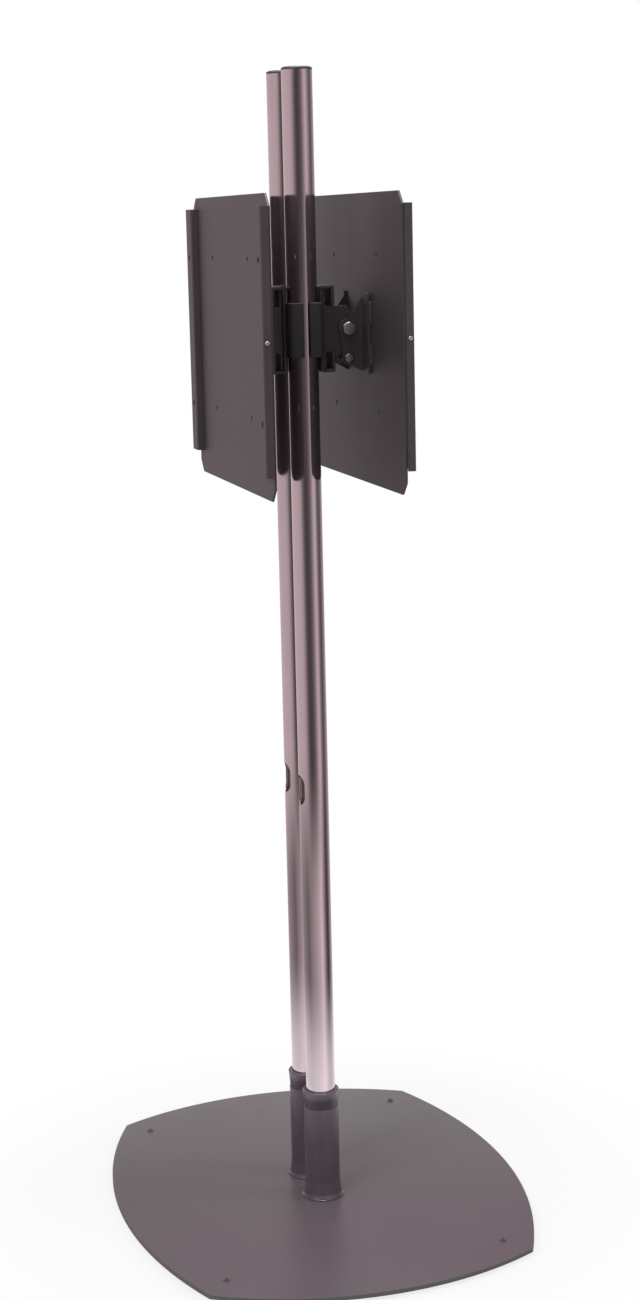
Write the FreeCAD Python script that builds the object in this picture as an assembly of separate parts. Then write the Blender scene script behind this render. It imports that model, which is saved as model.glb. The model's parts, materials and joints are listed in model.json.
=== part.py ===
"""Floor stand with a bowed base, twin poles and a sliding clamp that carries a tilting head front and rear.

All sizes are in mm. The origin is on the floor under the middle of the base, +Z is up, +X runs along the
pair of poles and -Y is the front. "Out" is the distance from the plane of the poles towards a head.
"""
import FreeCAD
import Part
import math
import os

Vec = FreeCAD.Vector

# Base plate: four corners joined by bowed edges
BASE_CORNER_X = 289.0
BASE_CORNER_Y = 218.0
BASE_BOW_X = 59.0
BASE_BOW_Y = 62.0
BASE_THICKNESS = 6.0
BASE_CORNER_ROUND = 6.0
BASE_EDGE_CUT = 0.8

# Levelling feet, set in from the corners of the base
FOOT_INSET_X = 33.0
FOOT_INSET_Y = 30.0
PAD_FLATS = 26.0
PAD_HEIGHT = 6.0
PAD_FLOOR = 1.5
STUD_RADIUS = 4.0
STUD_PROUD = 2.0
STUD_SOCKET = 4.0
STUD_SOCKET_DEPTH = 4.0

# Poles and what is fixed to them
POLE_SPACING = 77.0
POLE_RADIUS = 20.0
POLE_WALL = 2.0
POLE_LENGTH = 1524.0
PLUG_HEIGHT = 30.0
CAP_HEIGHT = 4.0
CAP_SLOPE = 1.6
CAP_SPIGOT = 14.0
BASE_BOLT_RADIUS = 5.0
BASE_BOLT_FLATS = 16.0
BASE_BOLT_FLOOR_GAP = 2.0
BASE_BOLT_GRIP = 24.0

# Cable slots in the front walls of the poles
SLOT_CENTRE_Z = 594.0
SLOT_HEIGHT = 42.0
SLOT_WIDTH = 25.0

# Sleeves round the feet of the poles
SLEEVE_WALL = 3.8
SLEEVE_HEIGHT = 156.0
TOP_RING_HEIGHT = 25.0
TOP_RING_NECK = 0.8
TOP_RING_FLARE = 1.3
FOOT_RIM = 1.5
FOOT_FLARE_WIDTH = 4.9
FOOT_FLARE_HEIGHT = 24.0
FOOT_KNEE_WIDTH = 1.7
FOOT_KNEE_HEIGHT = 8.0

# Clamp on the poles
MOUNT_Z = 1208.0
JAW_HEIGHT = 70.0
JAW_WALL = 3.0
JAW_SIDE_WALL = 4.4
JAW_SPLIT = 8.0
JAW_ROUND = 7.0
CLAMP_BOLT_RADIUS = 5.0
CLAMP_BOLT_RISE = 18.0
CLAMP_HEAD_FLATS = 16.0
CLAMP_HEAD_HEIGHT = 6.4
CLAMP_NUT_HEIGHT = 8.0
CLAMP_BOLT_END = 2.5

# C-shaped rail on each jaw
BRACKET_WIDTH = 88.0
BRACKET_HEIGHT = 112.0
BRACKET_DEPTH = 19.0
BRACKET_SHEET = 4.0
BRACKET_LIP = 26.0
BRACKET_BEND = 3.0

# Yoke in each rail, whose cheeks carry the tilt shaft and the tilt slots
YOKE_WIDTH = 80.0
YOKE_SHEET = 4.0
YOKE_ROUND = 4.0
CHEEK_BOSS = 12.0
PIVOT_REACH = 18.0
SHAFT_RADIUS = 5.0
SHAFT_HEAD_FLATS = 16.0
SHAFT_HEAD_HEIGHT = 6.4
SHAFT_NUT_HEIGHT = 8.0
SHAFT_END = 2.5
TILT_SLOT_RADIUS = 38.0
TILT_DOWN = 15.0
TILT_UP = 5.0
LOCK_RADIUS = 3.0
LOCK_HEAD_FLATS = 10.0
LOCK_HEAD_HEIGHT = 4.0
LOCK_NUT_HEIGHT = 5.0
LOCK_END = 1.5
SLOT_WALL = 4.0

# Ears of each head, outside the yoke's cheeks
EAR_SHEET = 4.0
EAR_BOSS = 13.0
EAR_FOOT_WIDTH = 30.0
EAR_FOOT_RISE = 46.0
EAR_FOOT_SPREAD = 20.0
EAR_ROUND = 4.0

# Display plate of each head
PLATE_REACH = 23.0
PLATE_DROP = 15.0
PATTERN_DROP = 7.0
PLATE_HEIGHT = 376.0
PLATE_SHEET = 3.0
PLATE_CORNER_CUT = 16.0
PLATE_FLANGE_HEIGHT = 300.0
PLATE_HOLE_SPAN = 200.0
PLATE_HOLE_RADIUS = 3.3

# Upright rails that hang on the display plate's side flanges
RAIL_SPAN = 400.0
RAIL_WIDTH = 30.0
RAIL_DEPTH = 10.5
RAIL_SHEET = 2.5
RAIL_HEIGHT = 330.0
RAIL_BEND = 2.0
RAIL_HOLE_RADIUS = 4.25
RAIL_HOLE_SPAN = 200.0

# Clearances
SEAT_GAP = 0.05
RUNNING_GAP = 0.08
BOLT_GAP = 0.25
SIDE_GAP = 0.4
HEAD_GAP = 0.2
SWING_GAP = 1.2
SPIGOT_GAP = 0.1
COVER_GAP = 0.3

# Heights that follow from the sizes above
BASE_TOP = PAD_HEIGHT + BASE_THICKNESS
PLATE_Z = MOUNT_Z - PLATE_DROP
PATTERN_Z = MOUNT_Z - PATTERN_DROP
POLE_TOP = BASE_TOP + POLE_LENGTH
POLE_BORE = POLE_RADIUS - POLE_WALL
POLE_X = POLE_SPACING / 2
SLEEVE_BORE = POLE_RADIUS + COVER_GAP
SLEEVE_RADIUS = SLEEVE_BORE + SLEEVE_WALL

# Distances out from the plane of the poles
JAW_OUT = POLE_RADIUS + JAW_WALL
BRACKET_WEB_OUT = JAW_OUT + BRACKET_SHEET
BRACKET_OUT = JAW_OUT + BRACKET_DEPTH
YOKE_WEB_OUT = BRACKET_WEB_OUT + YOKE_SHEET
PIVOT_OUT = BRACKET_OUT + PIVOT_REACH
PLATE_OUT = PIVOT_OUT + PLATE_REACH
PLATE_FACE_OUT = PLATE_OUT + PLATE_SHEET
RAIL_FACE_OUT = PLATE_FACE_OUT + RAIL_DEPTH

# Distances sideways from the middle of the mount
CHEEK_X = YOKE_WIDTH / 2
EAR_X = CHEEK_X + SIDE_GAP
EAR_OUTER_X = EAR_X + EAR_SHEET
RAIL_X = RAIL_SPAN / 2
RAIL_OUTER_X = RAIL_X + RAIL_WIDTH / 2
FLANGE_X = RAIL_OUTER_X - RAIL_SHEET - SPIGOT_GAP


def box(x_range, y_range, z_range):
    """A box between two limits on each axis."""
    corner = Vec(x_range[0], y_range[0], z_range[0])
    return Part.makeBox(x_range[1] - x_range[0], y_range[1] - y_range[0], z_range[1] - z_range[0], corner)


def cylinder(radius, start, direction, length):
    """A cylinder from a start point along a direction."""
    return Part.makeCylinder(radius, length, start, direction)


def polygon_face(points):
    """A flat face inside a closed outline."""
    return Part.Face(Part.makePolygon(points + [points[0]]))


def turned(outline, x, y):
    """A ring or plug turned about an upright axis; the outline is in (radius, height)."""
    face = polygon_face([Vec(radius, 0, height) for radius, height in outline])
    solid = face.revolve(Vec(0, 0, 0), Vec(0, 0, 1), 360)
    return solid.translated(Vec(x, y, 0))


def side_sheet(outline, x_from, x_to):
    """An upright sheet across X; the outline is in (out, height above the pivot), on the front side."""
    face = polygon_face([Vec(x_from, -out, MOUNT_Z + rise) for out, rise in outline])
    return face.extrude(Vec(x_to - x_from, 0, 0))


def hexagon(flats, start, direction, length):
    """A hexagonal prism along X, Y or Z, with its size given across the flats."""
    corner = flats / math.sqrt(3)
    turn = FreeCAD.Rotation(Vec(0, 0, 1), direction)
    points = []
    for step in range(6):
        angle = math.radians(60 * step)
        points.append(start + turn.multVec(Vec(corner * math.cos(angle), corner * math.sin(angle), 0)))
    return polygon_face(points).extrude(direction * length)


def hex_bolt(radius, flats, head_height, seat, direction, length):
    """A bolt whose head sits at a seat and whose shank runs from there along a direction."""
    head = hexagon(flats, seat, direction * -1, head_height)
    return head.fuse(cylinder(radius, seat, direction, length)).removeSplitter()


def hex_nut(radius, flats, seat, direction, height):
    """A nut that starts at a seat, bored for its bolt."""
    body = hexagon(flats, seat, direction, height)
    return body.cut(cylinder(radius + SEAT_GAP, seat, direction, height))


def edges_along(shape, axis):
    """The straight edges of a shape that run along an axis."""
    found = []
    for edge in shape.Edges:
        if isinstance(edge.Curve, Part.Line) and abs(edge.tangentAt(edge.FirstParameter).dot(axis)) > 0.999:
            found.append(edge)
    return found


def mirrored(shape):
    """The same piece on the other side of the plane X = 0."""
    return shape.mirror(Vec(0, 0, 0), Vec(1, 0, 0))


def to_rear(shape):
    """A front piece turned half round the middle of the stand."""
    return shape.rotated(Vec(0, 0, 0), Vec(0, 0, 1), 180)


def base_plate():
    """The bowed plate, with holes for the levelling studs and for the bolts under the poles."""
    corners = [
        Vec(-BASE_CORNER_X, -BASE_CORNER_Y, PAD_HEIGHT),
        Vec(BASE_CORNER_X, -BASE_CORNER_Y, PAD_HEIGHT),
        Vec(BASE_CORNER_X, BASE_CORNER_Y, PAD_HEIGHT),
        Vec(-BASE_CORNER_X, BASE_CORNER_Y, PAD_HEIGHT),
    ]
    middles = [
        Vec(0, -BASE_CORNER_Y - BASE_BOW_Y, PAD_HEIGHT),
        Vec(BASE_CORNER_X + BASE_BOW_X, 0, PAD_HEIGHT),
        Vec(0, BASE_CORNER_Y + BASE_BOW_Y, PAD_HEIGHT),
        Vec(-BASE_CORNER_X - BASE_BOW_X, 0, PAD_HEIGHT),
    ]
    edges = [Part.Arc(corners[i], middles[i], corners[(i + 1) % 4]).toShape() for i in range(4)]
    plate = Part.Face(Part.Wire(edges)).extrude(Vec(0, 0, BASE_THICKNESS))
    plate = plate.makeFillet(BASE_CORNER_ROUND, edges_along(plate, Vec(0, 0, 1)))
    rim = [edge for edge in plate.Edges if edge.BoundBox.ZMin > PAD_HEIGHT + BASE_THICKNESS / 2]
    plate = plate.makeChamfer(BASE_EDGE_CUT, rim)
    for x, y in foot_places().values():
        plate = plate.cut(
            cylinder(STUD_RADIUS + RUNNING_GAP, Vec(x, y, PAD_HEIGHT), Vec(0, 0, 1), BASE_THICKNESS)
        )
    for x in (-POLE_X, POLE_X):
        hole = cylinder(
            BASE_BOLT_RADIUS + BOLT_GAP, Vec(x, 0, PAD_HEIGHT), Vec(0, 0, 1), BASE_THICKNESS
        )
        plate = plate.cut(hole)
    return plate


def foot_places():
    """The levelling feet by name, each with its place on the base."""
    x = BASE_CORNER_X - FOOT_INSET_X
    y = BASE_CORNER_Y - FOOT_INSET_Y
    return {
        "front_left": (-x, -y),
        "front_right": (x, -y),
        "rear_left": (-x, y),
        "rear_right": (x, y),
    }


def leveller_stud(x, y):
    """A threaded stud with a hexagonal socket in its top."""
    top = BASE_TOP + STUD_PROUD
    stud = cylinder(STUD_RADIUS, Vec(x, y, PAD_FLOOR), Vec(0, 0, 1), top - PAD_FLOOR)
    socket = hexagon(STUD_SOCKET, Vec(x, y, top), Vec(0, 0, -1), STUD_SOCKET_DEPTH)
    return stud.cut(socket)


def leveller_pad(x, y):
    """A six-sided pad, moulded round the stud's end, that can be turned from below the base."""
    pad = hexagon(PAD_FLATS, Vec(x, y, 0), Vec(0, 0, 1), PAD_HEIGHT)
    seat = cylinder(STUD_RADIUS + SEAT_GAP, Vec(x, y, PAD_FLOOR), Vec(0, 0, 1), PAD_HEIGHT - PAD_FLOOR)
    return pad.cut(seat)


def base_bolts():
    """The two bolts from under the base that hold the poles down, with low heads clear of the floor."""
    bolts = []
    head_height = PAD_HEIGHT - BASE_BOLT_FLOOR_GAP
    length = BASE_THICKNESS + BASE_BOLT_GRIP
    for x in (-POLE_X, POLE_X):
        seat = Vec(x, 0, PAD_HEIGHT)
        bolts.append(hex_bolt(BASE_BOLT_RADIUS, BASE_BOLT_FLATS, head_height, seat, Vec(0, 0, 1), length))
    return Part.makeCompound(bolts)


def cable_slot(x):
    """An upright slot with round ends, cut from the front into a pole's bore."""
    radius = SLOT_WIDTH / 2
    straight = SLOT_HEIGHT / 2 - radius
    heights = (SLOT_CENTRE_Z - straight, SLOT_CENTRE_Z + straight)
    slot = box((x - radius, x + radius), (-POLE_RADIUS, 0), heights)
    for height in heights:
        slot = slot.fuse(cylinder(radius, Vec(x, -POLE_RADIUS, height), Vec(0, 1, 0), POLE_RADIUS))
    return slot.removeSplitter()


def pole(x):
    """A tube that stands on the base, with a tapped plug in its foot and its cable slot in the front wall."""
    outside = cylinder(POLE_RADIUS, Vec(x, 0, BASE_TOP), Vec(0, 0, 1), POLE_LENGTH)
    plug_top = BASE_TOP + PLUG_HEIGHT
    bore = cylinder(POLE_BORE, Vec(x, 0, plug_top), Vec(0, 0, 1), POLE_TOP - plug_top)
    tapped = cylinder(BASE_BOLT_RADIUS + SEAT_GAP, Vec(x, 0, BASE_TOP), Vec(0, 0, 1), PLUG_HEIGHT)
    return outside.cut(bore).cut(tapped).cut(cable_slot(x))


def pole_caps():
    """The caps in the poles' tops: a spigot under a low top with a sloping edge."""
    spigot = POLE_BORE - SPIGOT_GAP
    outline = [
        (0, POLE_TOP - CAP_SPIGOT),
        (spigot, POLE_TOP - CAP_SPIGOT),
        (spigot, POLE_TOP),
        (POLE_RADIUS, POLE_TOP),
        (POLE_RADIUS, POLE_TOP + CAP_HEIGHT - CAP_SLOPE),
        (POLE_RADIUS - 2 * CAP_SLOPE, POLE_TOP + CAP_HEIGHT),
        (0, POLE_TOP + CAP_HEIGHT),
    ]
    return Part.makeCompound([turned(outline, x, 0) for x in (-POLE_X, POLE_X)])


def sleeve(x):
    """The sleeve that stands on the base round a pole: its foot flares out and its top ring opens upwards."""
    top = BASE_TOP + SLEEVE_HEIGHT
    ring_bottom = top - TOP_RING_HEIGHT
    foot = SLEEVE_RADIUS + FOOT_FLARE_WIDTH
    outline = [
        (SLEEVE_BORE, BASE_TOP),
        (foot, BASE_TOP),
        (foot, BASE_TOP + FOOT_RIM),
        (SLEEVE_RADIUS + FOOT_KNEE_WIDTH, BASE_TOP + FOOT_KNEE_HEIGHT),
        (SLEEVE_RADIUS, BASE_TOP + FOOT_FLARE_HEIGHT),
        (SLEEVE_RADIUS, ring_bottom),
        (SLEEVE_RADIUS - TOP_RING_NECK, ring_bottom),
        (SLEEVE_RADIUS + TOP_RING_FLARE, top),
        (SLEEVE_BORE, top),
    ]
    return turned(outline, x, 0)


def clamp_hole(rise):
    """The hole for one long clamp bolt, right through both sides of the mount."""
    start = Vec(0, -PIVOT_OUT, MOUNT_Z + rise)
    return cylinder(CLAMP_BOLT_RADIUS + BOLT_GAP, start, Vec(0, 1, 0), 2 * PIVOT_OUT)


def clamp_rises():
    """Heights of the clamp bolts above and below the middle of the mount."""
    return (-CLAMP_BOLT_RISE, CLAMP_BOLT_RISE)


def clamp_jaw():
    """The front half of the clamp: a rounded block with a groove for each pole."""
    half_width = POLE_X + POLE_RADIUS + JAW_SIDE_WALL
    heights = (MOUNT_Z - JAW_HEIGHT / 2, MOUNT_Z + JAW_HEIGHT / 2)
    jaw = box((-half_width, half_width), (-JAW_OUT, -JAW_SPLIT / 2), heights)
    outer = [edge for edge in edges_along(jaw, Vec(0, 0, 1)) if edge.CenterOfMass.y < -JAW_OUT / 2]
    jaw = jaw.makeFillet(JAW_ROUND, outer)
    for x in (-POLE_X, POLE_X):
        groove = cylinder(POLE_RADIUS + RUNNING_GAP, Vec(x, 0, heights[0]), Vec(0, 0, 1), JAW_HEIGHT)
        jaw = jaw.cut(groove)
    for rise in clamp_rises():
        jaw = jaw.cut(clamp_hole(rise))
    return jaw


def pole_bracket():
    """The C-shaped rail on a jaw, bent from sheet, open to the sides with a lip above and below."""
    half = BRACKET_HEIGHT / 2
    inner = half - BRACKET_SHEET
    opening = half - BRACKET_LIP
    lip_back = BRACKET_OUT - BRACKET_SHEET
    upper = [
        (JAW_OUT, half),
        (BRACKET_OUT, half),
        (BRACKET_OUT, opening),
        (lip_back, opening),
        (lip_back, inner),
        (BRACKET_WEB_OUT, inner),
    ]
    lower = [(out, -rise) for out, rise in reversed(upper)]
    rail = side_sheet(upper + lower, -BRACKET_WIDTH / 2, BRACKET_WIDTH / 2)
    bends = []
    for edge in edges_along(rail, Vec(1, 0, 0)):
        if abs(abs(edge.CenterOfMass.z - MOUNT_Z) - half) < 1e-6:
            bends.append(edge)
    rail = rail.makeFillet(BRACKET_BEND, bends)
    for rise in clamp_rises():
        rail = rail.cut(clamp_hole(rise))
    return rail


def tilt_slot():
    """An arc slot below the pivot, as long as the lock bolt's path through the whole tilt."""
    radius = LOCK_RADIUS + BOLT_GAP
    pivot = Vec(-CHEEK_X, -PIVOT_OUT, MOUNT_Z)
    ends = []
    for angle in (-TILT_UP, (TILT_DOWN - TILT_UP) / 2, TILT_DOWN):
        ends.append(math.radians(angle))
    solids = []
    for angle in (ends[0], ends[2]):
        centre = pivot + lock_offset(TILT_SLOT_RADIUS, angle)
        solids.append(cylinder(radius, centre, Vec(1, 0, 0), YOKE_WIDTH))
    inner = [pivot + lock_offset(TILT_SLOT_RADIUS - radius, angle) for angle in ends]
    outer = [pivot + lock_offset(TILT_SLOT_RADIUS + radius, angle) for angle in ends]
    wire = Part.Wire(
        [
            Part.Arc(*inner).toShape(),
            Part.makeLine(inner[2], outer[2]),
            Part.Arc(*reversed(outer)).toShape(),
            Part.makeLine(outer[0], inner[0]),
        ]
    )
    slot = Part.Face(wire).extrude(Vec(YOKE_WIDTH, 0, 0))
    for solid in solids:
        slot = slot.fuse(solid)
    return slot.removeSplitter()


def lock_offset(radius, angle):
    """Where a point straight below the pivot goes when the front head tilts down by an angle."""
    return Vec(0, radius * math.sin(angle), -radius * math.cos(angle))


def tilt_yoke():
    """The yoke in the front rail: a web behind the lips and two cheeks through the rail's opening."""
    web_half = BRACKET_HEIGHT / 2 - BRACKET_SHEET - COVER_GAP
    neck = BRACKET_HEIGHT / 2 - BRACKET_LIP - COVER_GAP
    lobe = TILT_SLOT_RADIUS + LOCK_RADIUS + BOLT_GAP + SLOT_WALL
    lobe_back = BRACKET_OUT + SWING_GAP
    down = math.radians(TILT_DOWN)
    low_front = PIVOT_OUT + PLATE_REACH * math.cos(down) - lobe * math.sin(down) - SWING_GAP / 2
    outline = [
        (BRACKET_WEB_OUT, neck),
        (PIVOT_OUT, neck),
        (PIVOT_OUT + CHEEK_BOSS, CHEEK_BOSS),
        (low_front, -lobe),
        (lobe_back, -lobe),
        (lobe_back, -neck),
        (BRACKET_WEB_OUT, -neck),
    ]
    heights = (MOUNT_Z - web_half, MOUNT_Z + web_half)
    yoke = box((-CHEEK_X, CHEEK_X), (-YOKE_WEB_OUT, -BRACKET_WEB_OUT), heights)
    for inner in (-CHEEK_X, CHEEK_X - YOKE_SHEET):
        cheek = side_sheet(outline, inner, inner + YOKE_SHEET)
        tips = []
        for edge in edges_along(cheek, Vec(1, 0, 0)):
            if abs(edge.CenterOfMass.z - MOUNT_Z + lobe) < 1e-6:
                tips.append(edge)
        yoke = yoke.fuse(cheek.makeFillet(YOKE_ROUND, tips))
    yoke = yoke.removeSplitter()
    yoke = yoke.cut(tilt_slot())
    shaft_hole = cylinder(
        SHAFT_RADIUS + SEAT_GAP, Vec(-CHEEK_X, -PIVOT_OUT, MOUNT_Z), Vec(1, 0, 0), YOKE_WIDTH
    )
    yoke = yoke.cut(shaft_hole)
    for rise in clamp_rises():
        yoke = yoke.cut(clamp_hole(rise))
    return yoke


def clamp_bolts():
    """The two long bolts from the front yoke's web to the rear one's."""
    length = 2 * YOKE_WEB_OUT + CLAMP_NUT_HEIGHT + CLAMP_BOLT_END
    bolts = []
    for rise in clamp_rises():
        seat = Vec(0, -YOKE_WEB_OUT, MOUNT_Z + rise)
        bolts.append(
            hex_bolt(CLAMP_BOLT_RADIUS, CLAMP_HEAD_FLATS, CLAMP_HEAD_HEIGHT, seat, Vec(0, 1, 0), length)
        )
    return Part.makeCompound(bolts)


def clamp_nuts():
    """The nuts of the clamp bolts, on the rear yoke's web."""
    nuts = []
    for rise in clamp_rises():
        seat = Vec(0, YOKE_WEB_OUT, MOUNT_Z + rise)
        nuts.append(hex_nut(CLAMP_BOLT_RADIUS, CLAMP_HEAD_FLATS, seat, Vec(0, 1, 0), CLAMP_NUT_HEIGHT))
    return Part.makeCompound(nuts)


def tilt_shaft():
    """The front pivot: a bolt through both cheeks and both ears."""
    seat = Vec(-EAR_OUTER_X - HEAD_GAP, -PIVOT_OUT, MOUNT_Z)
    length = 2 * (EAR_OUTER_X + HEAD_GAP) + SHAFT_NUT_HEIGHT + SHAFT_END
    return hex_bolt(SHAFT_RADIUS, SHAFT_HEAD_FLATS, SHAFT_HEAD_HEIGHT, seat, Vec(1, 0, 0), length)


def tilt_shaft_nuts():
    """The nuts of both pivots."""
    seat = Vec(EAR_OUTER_X + HEAD_GAP, -PIVOT_OUT, MOUNT_Z)
    nut = hex_nut(SHAFT_RADIUS, SHAFT_HEAD_FLATS, seat, Vec(1, 0, 0), SHAFT_NUT_HEIGHT)
    return Part.makeCompound([nut, to_rear(nut)])


def lock_seat():
    """The lock bolt's centre in the plane of the right ear's outer face."""
    return Vec(EAR_OUTER_X, -PIVOT_OUT, MOUNT_Z) + lock_offset(TILT_SLOT_RADIUS, 0)


def tilt_ear():
    """The right ear of the front head: a bent bracket with its foot on the plate and a boss at the pivot."""
    down = math.radians(TILT_DOWN)
    foot_drop = TILT_SLOT_RADIUS + EAR_FOOT_SPREAD
    inward = (PIVOT_REACH - SWING_GAP - TILT_SLOT_RADIUS * math.sin(down)) / math.cos(down)
    tip = LOCK_RADIUS + BOLT_GAP + SLOT_WALL
    back = PIVOT_OUT - inward
    boss_corner = EAR_BOSS * 0.9
    outline = [
        (PLATE_OUT, EAR_FOOT_RISE),
        (PIVOT_OUT, boss_corner),
        (PIVOT_OUT - boss_corner, 0),
        (back, -TILT_SLOT_RADIUS),
        (back + tip / 2, -TILT_SLOT_RADIUS - tip),
        (PLATE_OUT, -foot_drop),
    ]
    ear = side_sheet(outline, EAR_X, EAR_OUTER_X)
    boss = cylinder(EAR_BOSS, Vec(EAR_X, -PIVOT_OUT, MOUNT_Z), Vec(1, 0, 0), EAR_SHEET)
    foot = box(
        (EAR_X, EAR_X + EAR_FOOT_WIDTH),
        (-PLATE_OUT, -PLATE_OUT + EAR_SHEET),
        (MOUNT_Z - foot_drop, MOUNT_Z + EAR_FOOT_RISE),
    )
    outer = [edge for edge in edges_along(foot, Vec(0, 1, 0)) if edge.CenterOfMass.x > EAR_OUTER_X]
    ear = ear.fuse(boss).fuse(foot.makeFillet(EAR_ROUND, outer)).removeSplitter()
    hole = cylinder(
        SHAFT_RADIUS + RUNNING_GAP, Vec(EAR_X, -PIVOT_OUT, MOUNT_Z), Vec(1, 0, 0), EAR_SHEET
    )
    lock_hole = cylinder(LOCK_RADIUS + SEAT_GAP, lock_seat(), Vec(-1, 0, 0), EAR_SHEET)
    return ear.cut(hole).cut(lock_hole)


def both_sides(pieces):
    """One group of pieces with their mirror images."""
    return Part.makeCompound(pieces + [mirrored(piece) for piece in pieces])


def tilt_lock_bolts():
    """The bolts through the ears and the tilt slots."""
    length = EAR_SHEET + SIDE_GAP + YOKE_SHEET + HEAD_GAP + LOCK_NUT_HEIGHT + LOCK_END
    bolt = hex_bolt(LOCK_RADIUS, LOCK_HEAD_FLATS, LOCK_HEAD_HEIGHT, lock_seat(), Vec(-1, 0, 0), length)
    return both_sides([bolt])


def tilt_lock_nuts():
    """The nuts of the lock bolts, inside the cheeks."""
    seat = lock_seat()
    seat.x = CHEEK_X - YOKE_SHEET - HEAD_GAP
    return both_sides([hex_nut(LOCK_RADIUS, LOCK_HEAD_FLATS, seat, Vec(-1, 0, 0), LOCK_NUT_HEIGHT)])


def display_plate():
    """The front plate with cut corners, a hole pattern of its own and a flange along each side."""
    z = PLATE_HEIGHT / 2
    plate = box((-FLANGE_X, FLANGE_X), (-PLATE_FACE_OUT, -PLATE_OUT), (PLATE_Z - z, PLATE_Z + z))
    plate = plate.makeChamfer(PLATE_CORNER_CUT, edges_along(plate, Vec(0, 1, 0)))
    flange_out = RAIL_FACE_OUT - RAIL_SHEET - COVER_GAP
    flange_top = PATTERN_Z + RAIL_HEIGHT / 2 - RAIL_SHEET
    flange = box(
        (FLANGE_X - PLATE_SHEET, FLANGE_X),
        (-flange_out, -PLATE_FACE_OUT),
        (flange_top - PLATE_FLANGE_HEIGHT, flange_top),
    )
    plate = plate.fuse(flange).fuse(mirrored(flange)).removeSplitter()
    half = PLATE_HOLE_SPAN / 2
    for side in (-half, half):
        for rise in (-half, half):
            centre = Vec(side, -PLATE_FACE_OUT, PATTERN_Z + rise)
            plate = plate.cut(cylinder(PLATE_HOLE_RADIUS, centre, Vec(0, 1, 0), PLATE_SHEET))
    return plate


def display_rail():
    """The right upright rail: a channel round the plate's flange, closed at its top, where it hangs."""
    outer = RAIL_OUTER_X
    inner = outer - RAIL_WIDTH
    front = RAIL_FACE_OUT
    back = PLATE_FACE_OUT
    outline = [
        (outer, back),
        (outer, front),
        (inner, front),
        (inner, back),
        (inner + RAIL_SHEET, back),
        (inner + RAIL_SHEET, front - RAIL_SHEET),
        (outer - RAIL_SHEET, front - RAIL_SHEET),
        (outer - RAIL_SHEET, back),
    ]
    bottom = PATTERN_Z - RAIL_HEIGHT / 2
    top = PATTERN_Z + RAIL_HEIGHT / 2
    rail = polygon_face([Vec(x, -out, bottom) for x, out in outline]).extrude(Vec(0, 0, RAIL_HEIGHT))
    rail = rail.fuse(box((inner, outer), (-front, -back), (top - RAIL_SHEET, top))).removeSplitter()
    bends = [edge for edge in edges_along(rail, Vec(0, 0, 1)) if abs(edge.CenterOfMass.y + front) < 1e-6]
    rail = rail.makeFillet(RAIL_BEND, bends)
    for rise in (-RAIL_HOLE_SPAN / 2, RAIL_HOLE_SPAN / 2):
        start = Vec(RAIL_X, -front, PATTERN_Z + rise)
        rail = rail.cut(cylinder(RAIL_HOLE_RADIUS, start, Vec(0, 1, 0), RAIL_SHEET))
    return rail


def stand_pieces():
    """The base, the poles and what is fixed to them."""
    pieces = {"base_plate": base_plate(), "base_bolts": base_bolts(), "pole_caps": pole_caps()}
    for side, x in (("left", -POLE_X), ("right", POLE_X)):
        pieces[f"pole_{side}"] = pole(x)
        pieces[f"sleeve_{side}"] = sleeve(x)
    for place, (x, y) in foot_places().items():
        pieces[f"leveller_stud_{place}"] = leveller_stud(x, y)
        pieces[f"leveller_pad_{place}"] = leveller_pad(x, y)
    return pieces


def mount_pieces():
    """The clamp, its rails and yokes, and the pivots of both heads."""
    pieces = {"clamp_bolts": clamp_bolts(), "clamp_nuts": clamp_nuts(), "tilt_shaft_nuts": tilt_shaft_nuts()}
    front = {
        "clamp_jaw": clamp_jaw(),
        "pole_bracket": pole_bracket(),
        "tilt_yoke": tilt_yoke(),
        "tilt_shaft": tilt_shaft(),
    }
    for name, shape in front.items():
        pieces[f"{name}_front"] = shape
        pieces[f"{name}_rear"] = to_rear(shape)
    return pieces


def head_pieces():
    """The front head and the rear head, which are the same but for a half turn."""
    ear = tilt_ear()
    rail = display_rail()
    head = {
        "display_plate": display_plate(),
        "tilt_ear_left": mirrored(ear),
        "tilt_ear_right": ear,
        "tilt_lock_bolts": tilt_lock_bolts(),
        "tilt_lock_nuts": tilt_lock_nuts(),
        "display_rail_left": mirrored(rail),
        "display_rail_right": rail,
    }
    pieces = {}
    for name, shape in head.items():
        pieces[f"front_{name}"] = shape
        pieces[f"rear_{name}"] = to_rear(shape)
    return pieces


os.makedirs("parts", exist_ok=True)
for group in (stand_pieces(), mount_pieces(), head_pieces()):
    for name, shape in group.items():
        shape.exportStep(f"parts/{name}.step")
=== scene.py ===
# %% [markdown]
# # A floor stand with twin chrome poles and two tilting heads
#
# The stand is a bowed steel base, two chrome tubes side by side, a black sleeve round the foot of each
# tube and a clamp that slides on both tubes and carries a tilting plate on each side. The solids come from
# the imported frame, in metres, with the floor at z = 0, the two poles side by side along X and the front at
# -Y. This lesson gives them their finishes, adds the small pieces that a solid model leaves out, and lights
# them. The sizes of pieces are written in millimetres, and `MM` turns them into metres.

# %% Load the frame
import json
import math

import bmesh
import bpy
from mathutils import Matrix, Vector


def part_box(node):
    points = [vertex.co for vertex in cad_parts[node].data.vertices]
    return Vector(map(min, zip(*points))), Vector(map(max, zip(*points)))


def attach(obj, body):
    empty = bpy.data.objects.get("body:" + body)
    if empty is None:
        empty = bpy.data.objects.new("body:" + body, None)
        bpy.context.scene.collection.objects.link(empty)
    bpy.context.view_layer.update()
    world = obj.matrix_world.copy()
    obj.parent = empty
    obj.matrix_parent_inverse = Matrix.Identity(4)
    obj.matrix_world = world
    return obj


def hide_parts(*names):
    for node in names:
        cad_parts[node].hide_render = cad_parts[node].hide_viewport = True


MM = 0.001

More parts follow.
